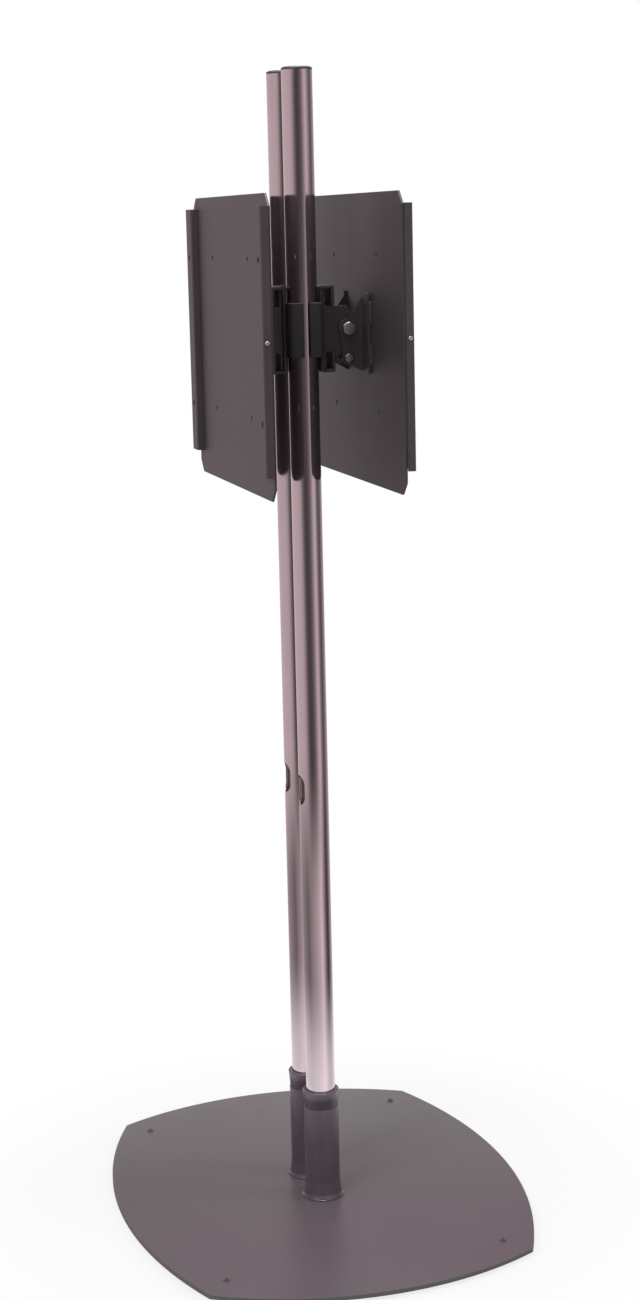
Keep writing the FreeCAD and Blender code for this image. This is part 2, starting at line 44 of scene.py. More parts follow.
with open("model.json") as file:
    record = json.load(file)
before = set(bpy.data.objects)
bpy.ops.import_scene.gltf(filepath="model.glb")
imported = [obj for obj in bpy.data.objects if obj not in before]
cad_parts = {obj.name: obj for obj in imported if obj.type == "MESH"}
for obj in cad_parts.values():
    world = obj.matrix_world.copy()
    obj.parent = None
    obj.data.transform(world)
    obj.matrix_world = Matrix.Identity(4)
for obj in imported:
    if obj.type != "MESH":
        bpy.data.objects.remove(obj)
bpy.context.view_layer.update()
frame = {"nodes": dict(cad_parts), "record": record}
nodes = frame["nodes"]


def axis_of(node):
    """The upright axis of a round node, with its radius and its ends, in millimetres."""
    low, high = [Vector(corner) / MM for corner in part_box(node)]
    return (low.x + high.x) / 2, (high.x - low.x) / 2, low.z, high.z


# %% [markdown]
# ## Camera
#
# The picture is tall and narrow, and the camera stands beside the stand's right end at about the height of
# the heads, looking a little down. Its turn, dip and slight roll are kept as three angles, because each one
# can then be checked by itself against an upright, the horizon and a level edge. The lens is worked out from
# the focal length in pixels, so the frame doesn't depend on the render's size.

# %% Camera
IMAGE_HEIGHT = 1300
FOCAL_PIXELS = 2257.0
SENSOR_MM = 36.0
CAMERA_PLACE = Vector((2.9000, -0.7547, 1.3406))
CAMERA_TURN = math.radians(74.972)
CAMERA_DIP = math.radians(10.65)
CAMERA_ROLL = math.radians(-1.319)

camera_data = bpy.data.cameras.new("camera")
camera_data.sensor_fit = "VERTICAL"
camera_data.sensor_height = SENSOR_MM
camera_data.lens = FOCAL_PIXELS * SENSOR_MM / IMAGE_HEIGHT
camera = bpy.data.objects.new("camera", camera_data)
bpy.context.collection.objects.link(camera)
camera.matrix_world = (
    Matrix.Translation(CAMERA_PLACE)
    @ Matrix.Rotation(CAMERA_TURN, 4, "Z")
    @ Matrix.Rotation(math.pi / 2 - CAMERA_DIP, 4, "X")
    @ Matrix.Rotation(CAMERA_ROLL, 4, "Z")
)
bpy.context.scene.camera = camera
print("lens:", round(camera_data.lens, 2), "mm")

# %% [markdown]
# ## Writing shaders as sums
#
# A finish is a small network of nodes. Two helpers keep it readable: `Value` wraps one socket, so that
# `0.4 + 0.1 * grain` adds the Math nodes by itself, and `Finish.node` makes any other node from its type,
# its settings and its inputs. Every pattern reads Object coordinates, which are the frame's own metres
# here, so a scale of 1000 gives a grain of about a millimetre on every piece. Each finish is then kept under
# the name of the slot that wears it.

# %% Shader helpers
MIX_FIRST = 6
MIX_SECOND = 7
MIX_RESULT = 2
FALLING = (1.0, 0.0)
SEEN_RAYS = ("Is Camera Ray", "Is Glossy Ray", "Is Transmission Ray")
FINISHES = {}


class Value:
    """One socket's value. Each operator adds a Math node."""

    def __init__(self, finish, socket):
        self.finish = finish
        self.socket = socket

    def join(self, operation, first, second):
        return self.finish.node("ShaderNodeMath", {"operation": operation}, {0: first, 1: second})

    def __add__(self, other):
        return self.join("ADD", self, other)

    def __sub__(self, other):
        return self.join("SUBTRACT", self, other)

    def __rsub__(self, other):
        return self.join("SUBTRACT", other, self)

    def __mul__(self, other):
        return self.join("MULTIPLY", self, other)

    __radd__ = __add__
    __rmul__ = __mul__


class Finish:
    """A material with one principled surface and the nodes that feed it."""

    def __init__(self, name, **fixed):
        self.material = bpy.data.materials.new(name)
        self.material.use_nodes = True
        self.tree = self.material.node_tree
        self.surface = self.tree.nodes["Principled BSDF"]
        self.place = self.node("ShaderNodeTexCoord", output="Object")
        self.set(**fixed)

    def feed(self, socket, value):
        if isinstance(value, Value):
            self.tree.links.new(value.socket, socket)
        else:
            socket.default_value = value

    def set(self, **values):
        """Feeds the surface's own sockets, with their names' spaces written as underscores."""
        for name, value in values.items():
            self.feed(self.surface.inputs[name.replace("_", " ")], value)
        return self

    def node(self, kind, settings=None, inputs=None, output=0):
        made = self.tree.nodes.new(kind)
        for name, value in (settings or {}).items():
            if name == "stops":
                self.set_stops(made.color_ramp, value)
            else:
                setattr(made, name, value)
        for key, value in (inputs or {}).items():
            self.feed(made.inputs[key], value)
        return Value(self, made.outputs[output])

    def set_stops(self, ramp, stops):
        while len(ramp.elements) < len(stops):
            ramp.elements.new(1.0)
        for element, (position, level) in zip(ramp.elements, stops):
            element.position = position
            element.color = (level, level, level, 1.0)

    def stretched(self, scale):
        """Object coordinates scaled by a different amount along each axis."""
        return self.node("ShaderNodeMapping", {}, {"Vector": self.place, "Scale": scale})

    def noise(self, scale, detail=2.0, roughness=0.5, place=None):
        inputs = {"Vector": place or self.place, "Scale": scale, "Detail": detail, "Roughness": roughness}
        return self.node("ShaderNodeTexNoise", {}, inputs)

    def ramp(self, value, stops):
        return self.node("ShaderNodeValToRGB", {"stops": stops}, {"Fac": value})

    def along(self, axis):
        """How far a point lies along X, Y or Z."""
        return self.node("ShaderNodeSeparateXYZ", {}, {"Vector": self.place}, output=axis)

    def mix(self, factor, first, second):
        """One colour going over into another."""
        inputs = {"Factor": factor, MIX_FIRST: first, MIX_SECOND: second}
        return self.node("ShaderNodeMix", {"data_type": "RGBA"}, inputs, output=MIX_RESULT)

    def between(self, value, source, target=(0.0, 1.0)):
        """A value taken smoothly from one range to another."""
        inputs = {"Value": value, "From Min": source[0], "From Max": source[1]}
        inputs.update({"To Min": target[0], "To Max": target[1]})
        return self.node("ShaderNodeMapRange", {"interpolation_type": "SMOOTHSTEP"}, inputs)

    def seen(self):
        """One for the camera and for mirror-like and see-through surfaces, zero for the lighting."""
        rays = [self.node("ShaderNodeLightPath", output=name) for name in SEEN_RAYS]
        return rays[0] + rays[1] + rays[2]

    def bump(self, height, strength, distance, under=None):
        inputs = {"Strength": strength, "Distance": distance, "Height": height}
        if under is not None:
            inputs["Normal"] = under
        return self.node("ShaderNodeBump", {}, inputs)

    def show(self, shader):
        """Puts a shader in the place of the principled surface."""
        self.feed(self.tree.nodes["Material Output"].inputs["Surface"], shader)
        return self.material


def rgb(red, green, blue):
    return (red, green, blue, 1.0)


def keep_finish(slot, material):
    FINISHES[slot] = material
    print(slot, "nodes:", len(material.node_tree.nodes))


# %% [markdown]
# ## Painted base
#
# The base is steel plate under a satin powder coat, a warm grey with a slight purple cast. Powder flows as
# it is baked, so the coat has a soft ripple a few millimetres wide with a fine tooth on top of it. Both are
# bump. The colour goes along the plate from a plain, slightly lighter grey to the purple: this is painted
# light, for how the light falls across the plate. Faint wiping marks change the gloss. Below the top face the
# plate's side is painted darker and rougher, a painted shade for its side faces.

# %% Base paint
PURPLE_COAT = (rgb(0.121, 0.087, 0.109), rgb(0.145, 0.107, 0.129))
GREY_COAT = (rgb(0.128, 0.116, 0.120), rgb(0.151, 0.136, 0.140))
# Painted shade for the plate's side faces, which stand in shade.
SIDE_FACE_SHADE = rgb(0.082, 0.073, 0.078)
# Where along X the painted light greys the far end of the plate, and how much of the colour it takes.
LIGHT_FALL_ALONG_X = (-0.26, 0.26)
LIGHT_FALL_SHARE = 0.7
PATCH_STOPS = ((0.32, 0.0), (0.68, 1.0))
SPECK_STOPS = ((0.38, 0.0), (0.62, 1.0))
# The heights below which the plate's side gets its painted shade.
SIDE_SHADE_HEIGHTS = (11.3 * MM, 11.9 * MM)
WIPING_STRETCH = (1.0, 4.0, 1.0)


def base_paint():
    finish = Finish("base_paint_coat", IOR=1.42)
    patches = finish.ramp(finish.noise(scale=5.0), PATCH_STOPS)
    spread = finish.between(finish.along("X"), LIGHT_FALL_ALONG_X, FALLING)
    # Painted light: towards -X the plate turns greyer and a little lighter, for how the light falls on it.
    drift = LIGHT_FALL_SHARE * spread + (1.0 - LIGHT_FALL_SHARE) * patches
    speck = finish.ramp(finish.noise(scale=1100.0, roughness=0.6), SPECK_STOPS)
    coat = finish.mix(drift, finish.mix(speck, *PURPLE_COAT), finish.mix(speck, *GREY_COAT))
    # Painted shade: below the top face the plate's side is darkened and made rougher.
    edge = finish.between(finish.along("Z"), SIDE_SHADE_HEIGHTS, FALLING)
    colour = finish.mix(edge, coat, SIDE_FACE_SHADE)
    wiped = finish.noise(scale=9.0, detail=4.0, roughness=0.6, place=finish.stretched(WIPING_STRETCH))
    roughness = 0.27 + 0.14 * wiped + 0.04 * speck + 0.25 * edge
    ripple = finish.bump(finish.noise(scale=260.0, detail=1.0), strength=0.16, distance=0.4 * MM)
    tooth = finish.bump(finish.noise(scale=1300.0), strength=0.30, distance=0.12 * MM, under=ripple)
    return finish.set(Base_Color=colour, Roughness=roughness, Normal=tooth).material


keep_finish("base_paint", base_paint())

# %% [markdown]
# ## Chrome
#
# The tubes are polished along their length and plated, so the mirror is drawn out into fine upright lines.
# A noise squeezed in X and Y and stretched in Z gives those lines. Handling leaves soft patches that are a
# little duller. The plate has a trace of warmth. Plating doesn't reach far into a tube, so the bore, which
# shows through the cable slots, is bare brown steel: the distance from each tube's axis tells the two apart.

# %% Chrome
CLEAN_PLATE = rgb(0.700, 0.607, 0.640)
DULL_PLATE = rgb(0.640, 0.550, 0.580)
BARE_STEEL = rgb(0.560, 0.460, 0.430)
POLE_SPREAD = 38.5 * MM
PLATED_FROM = (18.6 * MM, 19.2 * MM)
POLISH_STRETCH = (900.0, 900.0, 5.0)
SMUDGE_STRETCH = (1.0, 1.0, 0.35)
SMUDGE_STOPS = ((0.48, 0.0), (0.72, 1.0))


def in_bore(finish):
    """One inside either tube and zero on its plated outside."""
    spread = finish.node("ShaderNodeMath", {"operation": "ABSOLUTE"}, {0: finish.along("X")}) - POLE_SPREAD
    deep = finish.along("Y")
    return finish.between(spread * spread + deep * deep, [limit**2 for limit in PLATED_FROM], FALLING)


def chrome():
    finish = Finish("chrome_plate")
    bare = in_bore(finish)
    lines = finish.noise(scale=1.0, roughness=0.6, place=finish.stretched(POLISH_STRETCH))
    smudge = finish.noise(scale=14.0, detail=3.0, roughness=0.55, place=finish.stretched(SMUDGE_STRETCH))
    dull = finish.ramp(smudge, SMUDGE_STOPS)
    colour = finish.mix(bare, finish.mix(dull, CLEAN_PLATE, DULL_PLATE), BARE_STEEL)
    roughness = 0.055 + 0.05 * lines + 0.07 * dull + 0.40 * bare
    normal = finish.bump(lines, strength=0.05, distance=0.05 * MM)
    metal = 1.0 - 0.5 * bare
    return finish.set(Base_Color=colour, Roughness=roughness, Metallic=metal, Normal=normal).material


keep_finish("chrome", chrome())

# %% [markdown]
# ## Satin black of the sleeves
#
# Several blacks meet on this stand and each has its own surface. The sleeves are smooth satin, with glossier
# rings at both ends. The neck under the collar is darkened, a painted shade, and the collar's rim is made
# paler, a painted highlight. The height above the floor tells these zones apart, so one finish covers the
# whole sleeve and no edge has to be cut for it.

# %% Sleeve finish
SLEEVE_COAT = (rgb(0.056, 0.038, 0.054), rgb(0.086, 0.060, 0.081))
# Painted shade for the neck under the collar, and a painted highlight for the collar's rim.
NECK_SHADE = rgb(0.040, 0.026, 0.038)
COLLAR_HIGHLIGHT = rgb(0.118, 0.092, 0.114)
SLEEVE_FOOT_TOP = 22.0 * MM
SLEEVE_RING_BOTTOM = 143.0 * MM
RING_BLEND = 0.3 * MM
# The heights over which a painted highlight makes the collar's rim paler.
COLLAR_HIGHLIGHT_BAND = (154.0 * MM, 163.0 * MM)
SCUFF_STRETCH = (1.0, 1.0, 0.2)
SCUFF_STOPS = ((0.5, 0.0), (0.75, 1.0))


def sleeve_black():
    finish = Finish("sleeve_satin_black", IOR=1.7)
    up = finish.along("Z")
    ring = finish.between(up, (SLEEVE_RING_BOTTOM - RING_BLEND, SLEEVE_RING_BOTTOM))
    foot = finish.between(up, (SLEEVE_FOOT_TOP, SLEEVE_FOOT_TOP + RING_BLEND), FALLING)
    shine = 0.7 * ring + foot
    coat = finish.mix(finish.noise(scale=18.0, detail=3.0), *SLEEVE_COAT)
    # Painted shade: the neck under the collar is darkened where the collar's shadow falls.
    neck = finish.mix(0.6 * ring, coat, NECK_SHADE)
    # Painted highlight: the collar's rim is made paler.
    colour = finish.mix(finish.between(up, COLLAR_HIGHLIGHT_BAND), neck, COLLAR_HIGHLIGHT)
    scuff = finish.ramp(finish.noise(scale=34.0, place=finish.stretched(SCUFF_STRETCH)), SCUFF_STOPS)
    roughness = 0.27 - 0.12 * shine + 0.10 * scuff
    grain = finish.bump(finish.noise(scale=2200.0, detail=1.0), strength=0.08, distance=0.08 * MM)
    soft = finish.noise(scale=300.0, detail=1.0)
    ripple = finish.bump(soft, strength=0.05, distance=0.2 * MM, under=grain)
    return finish.set(Base_Color=colour, Roughness=roughness, Normal=ripple).material


keep_finish("black_satin", sleeve_black())

# %% [markdown]
# ## Powder coat on sheet and on castings
#
# The bent sheet of the mount has the fine tooth of powder coat over a soft ripple. The jaws wear the same
# coat, but a casting is coarser under it, so its lumps are larger and deeper and its gloss is lower.

# %% Powder coats
SHEET_BLACK = (rgb(0.030, 0.022, 0.025), rgb(0.054, 0.041, 0.046))
CAST_BLACK = (rgb(0.022, 0.018, 0.020), rgb(0.042, 0.034, 0.037))


def powder_black():
    finish = Finish("sheet_powder_black")
    speck = finish.noise(scale=1700.0)
    drift = finish.noise(scale=12.0, detail=3.0)
    colour = finish.mix(0.6 * drift + 0.4 * speck, *SHEET_BLACK)
    roughness = 0.42 + 0.12 * speck + 0.06 * drift
    ripple = finish.bump(finish.noise(scale=420.0, detail=1.0), strength=0.12, distance=0.3 * MM)
    tooth = finish.bump(speck, strength=0.18, distance=0.12 * MM, under=ripple)
    return finish.set(Base_Color=colour, Roughness=roughness, Normal=tooth).material


def cast_black():
    finish = Finish("cast_powder_black")
    lumps = finish.noise(scale=520.0, detail=3.0, roughness=0.6)
    colour = finish.mix(finish.noise(scale=25.0), *CAST_BLACK)
    roughness = 0.5 + 0.15 * lumps
    normal = finish.bump(lumps, strength=0.35, distance=0.25 * MM)
    return finish.set(Base_Color=colour, Roughness=roughness, Normal=normal).material


keep_finish("black_powder", powder_black())
keep_finish("black_cast", cast_black())

# %% [markdown]
# ## Moulded plastic and nylon
#
# The caps are moulded plastic with a fine leather-like grain, for which a cell pattern is the plainest
# source. The pads of the levelling feet are nylon, a flatter black with a slight mottle.

# %% Plastic and nylon
CAP_BLACK = (rgb(0.022, 0.020, 0.021), rgb(0.036, 0.033, 0.034))
CAP_CELLS = 900.0
PAD_BLACK = (rgb(0.030, 0.030, 0.031), rgb(0.052, 0.051, 0.050))


def cap_plastic():
    finish = Finish("cap_moulded_black")
    cells = finish.node("ShaderNodeTexVoronoi", {}, {"Vector": finish.place, "Scale": CAP_CELLS})
    colour = finish.mix(finish.noise(scale=60.0), *CAP_BLACK)
    roughness = 0.42 + 0.16 * cells
    normal = finish.bump(cells, strength=0.2, distance=0.12 * MM)
    return finish.set(Base_Color=colour, Roughness=roughness, Normal=normal).material


def pad_nylon():
    finish = Finish("pad_nylon_black")
    mottle = finish.noise(scale=180.0, detail=3.0)
    colour = finish.mix(mottle, *PAD_BLACK)
    roughness = 0.5 + 0.2 * mottle
    normal = finish.bump(finish.noise(scale=1300.0, detail=1.0), strength=0.12, distance=0.1 * MM)
    return finish.set(Base_Color=colour, Roughness=roughness, Normal=normal).material


keep_finish("black_plastic", cap_plastic())
keep_finish("black_nylon", pad_nylon())

# %% [markdown]
# ## Plated and blackened hardware
#
# Bolts, nuts and screws are zinc plated: a pale metal with a faint blue and straw iridescence and fine
# tumbling marks. The tint comes from a slow noise that mixes the two colours. The studs of the levelling feet
# are blackened instead, and have the same marks in a dark, dull metal.

# %% Hardware finishes
ZINC_TINTS = (rgb(0.56, 0.575, 0.60), rgb(0.62, 0.60, 0.545))
OXIDE_TINTS = (rgb(0.136, 0.103, 0.122), rgb(0.166, 0.130, 0.148))


def tumbling_marks(finish):
    """Fine marks, and the bump that they make."""
    marks = finish.noise(scale=1400.0, detail=3.0, roughness=0.7)
    return marks, finish.bump(marks, strength=0.10, distance=0.06 * MM)


def zinc_plate():
    finish = Finish("zinc_plate_steel", Metallic=1.0)
    marks, normal = tumbling_marks(finish)
    colour = finish.mix(finish.noise(scale=160.0), *ZINC_TINTS)
    roughness = 0.24 + 0.18 * marks
    return finish.set(Base_Color=colour, Roughness=roughness, Normal=normal).material


def black_oxide():
    finish = Finish("black_oxide_steel", Metallic=0.3)
    marks, normal = tumbling_marks(finish)
    colour = finish.mix(marks, *OXIDE_TINTS)
    roughness = 0.38 + 0.2 * marks
    return finish.set(Base_Color=colour, Roughness=roughness, Normal=normal).material


keep_finish("zinc_steel", zinc_plate())
keep_finish("black_oxide", black_oxide())

# %% [markdown]
# ## Finishes on the solids
#
# Every solid names its slot in the record, so one loop dresses them all. Pieces that are made below replace
# some of these solids and take their finish from the same list.

# %% Finishes on the solids
for subpart in frame["record"]["subparts"]:
    mesh = nodes[subpart["node"]].data
    for index in range(len(mesh.materials)):
        mesh.materials[index] = FINISHES[subpart["material_slot"]]
print("finishes:", sorted(FINISHES))

# %% [markdown]
# ## Mesh helpers
#
# Most of the pieces below are turned or bent, so a few small helpers do the repeated work: one spins an
# outline round the upright axis, one picks the sharp edges, one rounds them, one lets a second shape cut the
# first, one moves a shape and one joins several. A piece is then handed its finish, its body and the solid
# that it stands for in a single call.

# %% Mesh helpers
SEAM_MERGE = 0.001


def object_from(name, shape):
    """A linked object that holds a bmesh's shape."""
    mesh = bpy.data.meshes.new(name)
    shape.to_mesh(mesh)
    shape.free()
    made = bpy.data.objects.new(name, mesh)
    bpy.context.collection.objects.link(made)
    return made


def spin_round(shape, steps):
    """Spins all of a shape once round the upright axis."""
    bmesh.ops.spin(
        shape,
        geom=shape.verts[:] + shape.edges[:],
        cent=(0.0, 0.0, 0.0),
        axis=(0.0, 0.0, 1.0),
        angle=2 * math.pi,
        steps=steps,
        use_merge=True,
    )


def spun(outline, steps, closed=True):
    """An outline in millimetres, given as radius and height, spun once round the upright axis."""
    shape = bmesh.new()
    corners = [shape.verts.new((radius * MM, 0.0, height * MM)) for radius, height in outline]
    for first, second in zip(corners, corners[1:]):
        shape.edges.new((first, second))
    if closed:
        shape.edges.new((corners[-1], corners[0]))
    spin_round(shape, steps)
    bmesh.ops.remove_doubles(shape, verts=shape.verts[:], dist=SEAM_MERGE * MM)
    bmesh.ops.recalc_face_normals(shape, faces=shape.faces[:])
    return shape


def sharp_edges(shape, least, where):
    """Edges whose two faces turn by at least an angle in degrees, and that pass a test of their middle."""
    found = []
    for edge in shape.edges:
        if len(edge.link_faces) != 2 or math.degrees(edge.calc_face_angle()) < least:
            continue
        middle = (edge.verts[0].co + edge.verts[1].co) / (2 * MM)
        if where(middle):
            found.append(edge)
    return found


def rounded(shape, edges, offset, segments=3):
    """Rounds chosen edges by an offset in millimetres."""
    bmesh.ops.bevel(
        shape,
        geom=edges,
        offset=offset * MM,
        offset_type="OFFSET",
        segments=segments,
        profile=0.5,
        affect="EDGES",
        material=-1,
        clamp_overlap=True,
    )


def carved(shape, tool, operation="DIFFERENCE"):
    """What a Boolean leaves of one shape when another cuts, joins or bounds it."""
    body = object_from("carved_body", shape)
    cutter = object_from("carving_tool", tool)
    carving = body.modifiers.new("carving", "BOOLEAN")
    carving.operation = operation
    carving.solver = "EXACT"
    carving.object = cutter
    left = bmesh.new()
    left.from_object(body, bpy.context.evaluated_depsgraph_get())
    bpy.data.objects.remove(body)
    bpy.data.objects.remove(cutter)
    return left


def place(shape, matrix):
    bmesh.ops.transform(shape, matrix=matrix, verts=shape.verts[:])


def joined(shapes):
    """Several loose shapes as one."""
    whole = bmesh.new()
    for shape in shapes:
        mesh = bpy.data.meshes.new("loose_shape")
        shape.to_mesh(mesh)
        shape.free()
        whole.from_mesh(mesh)
        bpy.data.meshes.remove(mesh)
    return whole


def add_piece(name, shape, body, slot, *replaced):
    """Hands a shape its finish, its body and the solids it stands for."""
    bmesh.ops.remove_doubles(shape, verts=shape.verts[:], dist=SEAM_MERGE * MM)
    for face in shape.faces:
        face.smooth = True
    piece = object_from(name, shape)
    piece.data.materials.append(FINISHES[slot])
    even = piece.modifiers.new("even_normals", "WEIGHTED_NORMAL")
    even.keep_sharp = True
    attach(piece, body)
    if replaced:
        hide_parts(*replaced)
    print(name, "faces:", len(piece.data.polygons))
    return piece


# %% [markdown]
# ## Poles
#
# Each pole is a plain tube with a tapped plug in its foot and an upright slot for cables in its front wall.
# A tube could be an extruded ring, but spinning the outline gives the wall, the plug and both ends at once.
# The slot is cut by a Boolean with a long round-ended block. Points that crowd its rim are merged, in a fixed
# order so that every run gives the same tube. The raw edge is then rounded, because a filed edge is what
# catches the light on the real tube. A tube's normals are known exactly, so they are written straight from
# the axis: chrome shows even a slight error.

# %% Poles
POLE_WALL = 2.0
POLE_STEPS = 96
FOOT_PLUG_HEIGHT = 30.0
FOOT_PLUG_BORE = 5.05
SLOT_CENTRE = 594.0
SLOT_HEIGHT = 42.0
SLOT_WIDTH = 25.0
SLOT_STEPS = 32
SLOT_RIM_ANGLE = 40.0
SLOT_EDGE_ROUND = 0.45
SLOT_EDGE_SEGMENTS = 2
SLOT_LEAST_EDGE = 0.45
MICROMETRE_DIGITS = 6
RADIAL_LIMIT = 0.97
SIDES = ("left", "right")


def slot_cutter(depth):
    """A round-ended block along Y that is as tall and wide as the cable slot."""
    shape = bmesh.new()
    half_a_step = Matrix.Rotation(math.pi / SLOT_STEPS, 4, "Z")
    upright = Matrix.Rotation(math.pi / 2, 4, "X")
    bmesh.ops.create_circle(
        shape,
        cap_ends=True,
        radius=SLOT_WIDTH / 2 * MM,
        segments=SLOT_STEPS,
        matrix=upright @ half_a_step,
    )
    straight = (SLOT_HEIGHT - SLOT_WIDTH) / 2 * MM
    for side in (-1, 1):
        half = [vert for vert in shape.verts if vert.co.z * side > 0]
        bmesh.ops.translate(shape, verts=half, vec=(0.0, 0.0, side * straight))
    grown = bmesh.ops.extrude_face_region(shape, geom=shape.faces[:])
    moved = [item for item in grown["geom"] if isinstance(item, bmesh.types.BMVert)]
    bmesh.ops.translate(shape, verts=moved, vec=(0.0, -depth * MM, 0.0))
    bmesh.ops.recalc_face_normals(shape, faces=shape.faces[:])
    return shape


def slot_rim(tube):
    return sharp_edges(tube, SLOT_RIM_ANGLE, lambda at: abs(at.z - SLOT_CENTRE) < SLOT_HEIGHT)


def true_normals(piece, x):
    """Gives the walls of a tube normals that point straight away from its axis."""
    mesh = piece.data
    normals = []
    for polygon in mesh.polygons:
        for index in polygon.vertices:
            away = mesh.vertices[index].co - Vector((x * MM, 0.0, 0.0))
            away.z = 0.0
            away.normalize()
            facing = polygon.normal.dot(away)
            wall = abs(facing) > RADIAL_LIMIT
            normals.append(away * math.copysign(1.0, facing) if wall else mesh.vertices[index].normal)
    mesh.normals_split_custom_set(normals)


for side in SIDES:
    pole_x, pole_radius, pole_foot, pole_top = axis_of(f"pole_{side}")
    pole_bore = pole_radius - POLE_WALL
    plug_top = pole_foot + FOOT_PLUG_HEIGHT
    tube = spun(
        [
            (pole_radius, pole_foot),
            (pole_radius, pole_top),
            (pole_bore, pole_top),
            (pole_bore, plug_top),
            (FOOT_PLUG_BORE, plug_top),
            (FOOT_PLUG_BORE, pole_foot),
        ],
        POLE_STEPS,
    )
    cutter = slot_cutter(2 * pole_radius)
    place(cutter, Matrix.Translation((0.0, 0.0, SLOT_CENTRE * MM)))
    tube = carved(tube, cutter)
    rim_points = {point for edge in slot_rim(tube) for point in edge.verts}
    in_order = sorted(rim_points, key=lambda point: point.co.to_tuple(MICROMETRE_DIGITS))
    bmesh.ops.remove_doubles(tube, verts=in_order, dist=SLOT_LEAST_EDGE * MM)
    rounded(tube, slot_rim(tube), SLOT_EDGE_ROUND, SLOT_EDGE_SEGMENTS)
    place(tube, Matrix.Translation((pole_x * MM, 0.0, 0.0)))
    pole_piece = add_piece(f"pole_tube_{side}", tube, "stand", "chrome", f"pole_{side}")
    pole_piece.modifiers.clear()
    true_normals(pole_piece, pole_x)

# %% [markdown]
# ## Pole caps
#
# A moulded cap closes each tube: a short spigot, a lip as wide as the tube and a low top with a sloping edge.
# The lip's edges are rounded as a mould leaves them.

# %% Pole caps
CAP_SPIGOT = 14.0
CAP_SPIGOT_RADIUS = 17.9
CAP_LIP = 2.4
CAP_SLOPE = 3.2
CAP_ROUND = 0.7
CAP_ROUND_ANGLE = 20.0
CAP_ROUND_DEPTH = 1.0
CAP_STEPS = 72

cap_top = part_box("pole_caps")[1][2] / MM
caps = []
for side in SIDES:
    pole_x, pole_radius, _, pole_top = axis_of(f"pole_{side}")
    cap = spun(
        [
            (0.0, pole_top - CAP_SPIGOT),
            (CAP_SPIGOT_RADIUS, pole_top - CAP_SPIGOT),
            (CAP_SPIGOT_RADIUS, pole_top),
            (pole_radius, pole_top),
            (pole_radius, pole_top + CAP_LIP),
            (pole_radius - CAP_SLOPE, cap_top),
            (0.0, cap_top),
        ],
        CAP_STEPS,
        closed=False,
    )
    lip_edges = sharp_edges(cap, CAP_ROUND_ANGLE, lambda at: at.z > pole_top - CAP_ROUND_DEPTH)
    rounded(cap, lip_edges, CAP_ROUND)
    place(cap, Matrix.Translation((pole_x * MM, 0.0, 0.0)))
    caps.append(cap)
add_piece("pole_cap_pair", joined(caps), "stand", "black_plastic", "pole_caps")

# %% [markdown]
# ## Sleeves
#
# A sleeve hides the joint between each pole and the base. Its foot flares out like the bell of a trumpet and
# its top ring opens upwards from a narrow neck. The outline has few corners. Rounding the three bends of the
# flare widely turns them into one sweep, the collar's rim is rounded more, and the other edges get a small
# radius that carries the highlights round the foot and the neck.

# %% Sleeves
SLEEVE_BORE = 20.3
SLEEVE_BODY = 24.1
SLEEVE_NECK = 23.3
SLEEVE_RIM = 25.4
SLEEVE_RING = 25.0
SLEEVE_STEPS = 96
FLARE_TOP = 24.0
FLARE_KNEE = (25.6, 8.0)
FLARE_LIP = (26.6, 3.1)
FLARE_RIM = 1.5
FLARE_SWEEP = 1.8
FLARE_BEND_ANGLE = 5.0
FLARE_SEGMENTS = 4
COLLAR_ROUND = 2.4
COLLAR_SEGMENTS = 6
SLEEVE_EDGE_ROUND = 0.7
SLEEVE_EDGE_ANGLE = 35.0
LEVEL_EDGE = 0.01
SAME_HEIGHT = 0.1
UNDER_LIP = 0.5
UNDER_RING = 1.0

for side in SIDES:
    sleeve_x, foot_radius, sleeve_foot, sleeve_top = axis_of(f"sleeve_{side}")
    ring_bottom = sleeve_top - SLEEVE_RING
    lip_height = sleeve_foot + FLARE_LIP[1]
    flare_height = sleeve_foot + FLARE_TOP
    sleeve = spun(
        [
            (SLEEVE_BORE, sleeve_foot),
            (foot_radius, sleeve_foot),
            (foot_radius, sleeve_foot + FLARE_RIM),
            (FLARE_LIP[0], lip_height),
            (FLARE_KNEE[0], sleeve_foot + FLARE_KNEE[1]),
            (SLEEVE_BODY, flare_height),
            (SLEEVE_BODY, ring_bottom),
            (SLEEVE_NECK, ring_bottom),
            (SLEEVE_RIM, sleeve_top),
            (SLEEVE_BORE, sleeve_top),
        ],
        SLEEVE_STEPS,
    )
    bends = sharp_edges(
        sleeve,
        FLARE_BEND_ANGLE,
        lambda at: lip_height - SAME_HEIGHT < at.z < flare_height + SAME_HEIGHT,
    )
    level_bends = [edge for edge in bends if abs(edge.verts[0].co.z - edge.verts[1].co.z) < LEVEL_EDGE * MM]
    rounded(sleeve, level_bends, FLARE_SWEEP, FLARE_SEGMENTS)
    collar = sharp_edges(
        sleeve,
        SLEEVE_EDGE_ANGLE,
        lambda at: at.z > sleeve_top - SAME_HEIGHT and at.xy.length > SLEEVE_NECK,
    )
    rounded(sleeve, collar, COLLAR_ROUND, COLLAR_SEGMENTS)
    crisp = sharp_edges(
        sleeve,
        SLEEVE_EDGE_ANGLE,
        lambda at: at.z < lip_height - UNDER_LIP or at.z > ring_bottom - UNDER_RING,
    )
    rounded(sleeve, crisp, SLEEVE_EDGE_ROUND)
    place(sleeve, Matrix.Translation((sleeve_x * MM, 0.0, 0.0)))
    add_piece(f"sleeve_bell_{side}", sleeve, "stand", "black_satin", f"sleeve_{side}")

